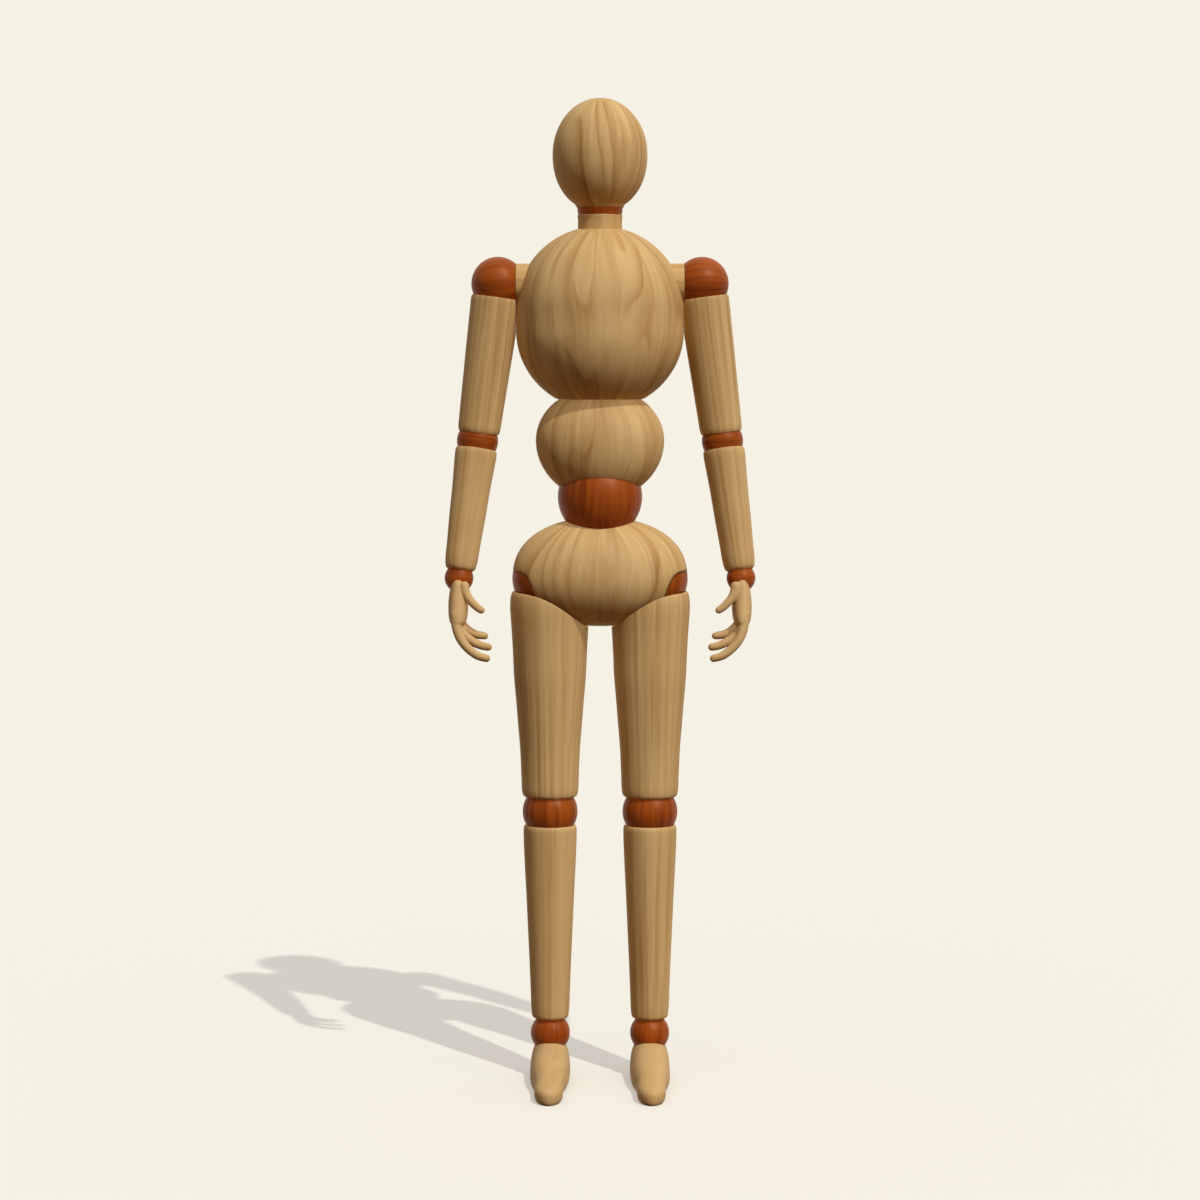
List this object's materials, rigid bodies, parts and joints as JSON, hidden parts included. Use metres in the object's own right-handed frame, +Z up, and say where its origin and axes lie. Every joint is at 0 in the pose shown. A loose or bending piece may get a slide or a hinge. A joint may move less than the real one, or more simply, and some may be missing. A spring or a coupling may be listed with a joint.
{
  "type": "artist mannequin",
  "caption": "Jointed wooden drawing mannequin with a smooth egg-shaped head, turned limbs, dark ball joints, carved hands and flat feet to stand on.",
  "frame": {"origin": "on the floor, under the middle of the whole figure's bounding box as it stands with its arms hanging", "axes": "+Z up through the standing figure; the figure faces -Y; +X points to the figure's own left; the soles lie in Z = 0"},
  "size_m": [0.094, 0.0628, 0.3],
  "materials": {
    "bare_wood": "fine sanded, unstained, thin matt coat",
    "stained_wood": "stained red-brown and lacquered satin",
    "steel": "plain drawn wire and strip"
  },
  "bodies": {
    "pelvis": {"pelvis": "bare_wood"},
    "waist_ball": {"waist_ball": "stained_wood", "waist_swivel": "steel"},
    "abdomen": {"abdomen": "bare_wood", "abdomen_pivot": "steel", "waist_tongue": "steel"},
    "chest": {"chest": "bare_wood", "shoulder_bar": "bare_wood", "shoulder_spring": "steel", "neck": "bare_wood"},
    "neck_ball": {"neck_ball": "stained_wood", "neck_swivel": "steel"},
    "head": {"head": "bare_wood", "neck_tongue": "steel"},
    "right_shoulder_ball": {"right_shoulder_ball": "stained_wood", "right_shoulder_swivel": "steel"},
    "right_upper_arm": {"right_upper_arm": "bare_wood", "right_shoulder_tongue": "steel"},
    "right_elbow_ball": {"right_elbow_ball": "stained_wood", "right_elbow_swivel": "steel"},
    "right_forearm": {"right_forearm": "bare_wood", "right_elbow_tongue": "steel"},
    "right_wrist_ball": {"right_wrist_ball": "stained_wood"},
    "right_hand": {"right_hand": "bare_wood", "right_wrist_tongue": "steel"},
    "right_hip_ball": {"right_hip_ball": "stained_wood", "right_hip_swivel": "steel"},
    "right_thigh": {"right_thigh": "bare_wood", "right_hip_tongue": "steel"},
    "right_knee_ball": {"right_knee_ball": "stained_wood", "right_knee_swivel": "steel"},
    "right_shin": {"right_shin": "bare_wood", "right_knee_tongue": "steel"},
    "right_ankle_ball": {"right_ankle_ball": "stained_wood"},
    "right_foot": {"right_foot": "bare_wood", "right_ankle_tongue": "steel"},
    "left_shoulder_ball": {"left_shoulder_ball": "stained_wood", "left_shoulder_swivel": "steel"},
    "left_upper_arm": {"left_upper_arm": "bare_wood", "left_shoulder_tongue": "steel"},
    "left_elbow_ball": {"left_elbow_ball": "stained_wood", "left_elbow_swivel": "steel"},
    "left_forearm": {"left_forearm": "bare_wood", "left_elbow_tongue": "steel"},
    "left_wrist_ball": {"left_wrist_ball": "stained_wood"},
    "left_hand": {"left_hand": "bare_wood", "left_wrist_tongue": "steel"},
    "left_hip_ball": {"left_hip_ball": "stained_wood", "left_hip_swivel": "steel"},
    "left_thigh": {"left_thigh": "bare_wood", "left_hip_tongue": "steel"},
    "left_knee_ball": {"left_knee_ball": "stained_wood", "left_knee_swivel": "steel"},
    "left_shin": {"left_shin": "bare_wood", "left_knee_tongue": "steel"},
    "left_ankle_ball": {"left_ankle_ball": "stained_wood"},
    "left_foot": {"left_foot": "bare_wood", "left_ankle_tongue": "steel"}
  },
  "joints": [
    {"name": "waist_twist", "type": "hinge", "parent": "pelvis", "child": "waist_ball", "pos_m": [0, 0.00946, 0.1792], "axis": [0, 0, 1], "range_deg": [-75, 75]},
    {"name": "waist_bend", "type": "hinge", "parent": "waist_ball", "child": "abdomen", "pos_m": [0, 0.00946, 0.1792], "axis": [1, 0, 0], "range_deg": [-25, 40]},
    {"name": "chest_twist", "type": "hinge", "parent": "abdomen", "child": "chest", "pos_m": [0, 0.00946, 0.20865], "axis": [0, 0, 1], "range_deg": [-45, 45]},
    {"name": "neck_twist", "type": "hinge", "parent": "chest", "child": "neck_ball", "pos_m": [0, 0.00946, 0.2669], "axis": [0, 0, 1], "range_deg": [-90, 90]},
    {"name": "head_nod", "type": "hinge", "parent": "neck_ball", "child": "head", "pos_m": [0, 0.00946, 0.2669], "axis": [1, 0, 0], "range_deg": [-15, 15]},
    {"name": "right_shoulder_swing", "type": "hinge", "parent": "chest", "child": "right_shoulder_ball", "pos_m": [-0.031, 0.00946, 0.244], "axis": [-1, 0, 0], "range_deg": [-60, 180]},
    {"name": "right_shoulder_raise", "type": "hinge", "parent": "right_shoulder_ball", "child": "right_upper_arm", "pos_m": [-0.031, 0.00946, 0.244], "axis": [0, 1, 0], "range_deg": [0, 90]},
    {"name": "right_elbow_twist", "type": "hinge", "parent": "right_upper_arm", "child": "right_elbow_ball", "pos_m": [-0.03737, 0.00946, 0.19622], "axis": [-0.1323, 0, -0.9912], "range_deg": [-30, 90]},
    {"name": "right_elbow_bend", "type": "hinge", "parent": "right_elbow_ball", "child": "right_forearm", "pos_m": [-0.03737, 0.00946, 0.19622], "axis": [-0.9912, 0, 0.1323], "range_deg": [-6, 38]},
    {"name": "right_wrist_twist", "type": "hinge", "parent": "right_forearm", "child": "right_wrist_ball", "pos_m": [-0.04293, 0.00438, 0.1546], "axis": [-0.1313, -0.1201, -0.984], "range_deg": [-90, 90]},
    {"name": "right_wrist_bend", "type": "hinge", "parent": "right_wrist_ball", "child": "right_hand", "pos_m": [-0.04293, 0.00438, 0.1546], "axis": [0.0159, -0.9928, 0.1191], "range_deg": [-60, 30]},
    {"name": "right_hip_swing", "type": "hinge", "parent": "pelvis", "child": "right_hip_ball", "pos_m": [-0.01535, 0.00946, 0.1543], "axis": [-1, 0, 0], "range_deg": [-20, 50]},
    {"name": "right_hip_raise", "type": "hinge", "parent": "right_hip_ball", "child": "right_thigh", "pos_m": [-0.01535, 0.00946, 0.1543], "axis": [0, 1, 0], "range_deg": [0, 20]},
    {"name": "right_knee_twist", "type": "hinge", "parent": "right_thigh", "child": "right_knee_ball", "pos_m": [-0.01535, 0.00946, 0.0824], "axis": [0, 0, 1], "range_deg": [-45, 25]},
    {"name": "right_knee_bend", "type": "hinge", "parent": "right_knee_ball", "child": "right_shin", "pos_m": [-0.01535, 0.00946, 0.0824], "axis": [1, 0, 0], "range_deg": [0, 85]},
    {"name": "right_ankle_twist", "type": "hinge", "parent": "right_shin", "child": "right_ankle_ball", "pos_m": [-0.01535, 0.00946, 0.0136], "axis": [0, 0, 1], "range_deg": [-45, 25]},
    {"name": "right_ankle_bend", "type": "hinge", "parent": "right_ankle_ball", "child": "right_foot", "pos_m": [-0.01535, 0.00946, 0.0136], "axis": [-1, 0, 0], "range_deg": [-35, 28]},
    {"name": "left_shoulder_swing", "type": "hinge", "parent": "chest", "child": "left_shoulder_ball", "pos_m": [0.031, 0.00946, 0.244], "axis": [-1, 0, 0], "range_deg": [-60, 180]},
    {"name": "left_shoulder_raise", "type": "hinge", "parent": "left_shoulder_ball", "child": "left_upper_arm", "pos_m": [0.031, 0.00946, 0.244], "axis": [0, -1, 0], "range_deg": [0, 90]},
    {"name": "left_elbow_twist", "type": "hinge", "parent": "left_upper_arm", "child": "left_elbow_ball", "pos_m": [0.03737, 0.00946, 0.19622], "axis": [-0.1323, 0, 0.9912], "range_deg": [-30, 90]},
    {"name": "left_elbow_bend", "type": "hinge", "parent": "left_elbow_ball", "child": "left_forearm", "pos_m": [0.03737, 0.00946, 0.19622], "axis": [-0.9912, 0, -0.1323], "range_deg": [-6, 38]},
    {"name": "left_wrist_twist", "type": "hinge", "parent": "left_forearm", "child": "left_wrist_ball", "pos_m": [0.04293, 0.00438, 0.1546], "axis": [-0.1313, 0.1201, 0.984], "range_deg": [-90, 90]},
    {"name": "left_wrist_bend", "type": "hinge", "parent": "left_wrist_ball", "child": "left_hand", "pos_m": [0.04293, 0.00438, 0.1546], "axis": [0.0159, 0.9928, -0.1191], "range_deg": [-60, 30]},
    {"name": "left_hip_swing", "type": "hinge", "parent": "pelvis", "child": "left_hip_ball", "pos_m": [0.01535, 0.00946, 0.1543], "axis": [-1, 0, 0], "range_deg": [-20, 50]},
    {"name": "left_hip_raise", "type": "hinge", "parent": "left_hip_ball", "child": "left_thigh", "pos_m": [0.01535, 0.00946, 0.1543], "axis": [0, -1, 0], "range_deg": [0, 20]},
    {"name": "left_knee_twist", "type": "hinge", "parent": "left_thigh", "child": "left_knee_ball", "pos_m": [0.01535, 0.00946, 0.0824], "axis": [0, 0, -1], "range_deg": [-45, 25]},
    {"name": "left_knee_bend", "type": "hinge", "parent": "left_knee_ball", "child": "left_shin", "pos_m": [0.01535, 0.00946, 0.0824], "axis": [1, 0, 0], "range_deg": [0, 85]},
    {"name": "left_ankle_twist", "type": "hinge", "parent": "left_shin", "child": "left_ankle_ball", "pos_m": [0.01535, 0.00946, 0.0136], "axis": [0, 0, -1], "range_deg": [-45, 25]},
    {"name": "left_ankle_bend", "type": "hinge", "parent": "left_ankle_ball", "child": "left_foot", "pos_m": [0.01535, 0.00946, 0.0136], "axis": [-1, 0, 0], "range_deg": [-35, 28]}
  ]
}
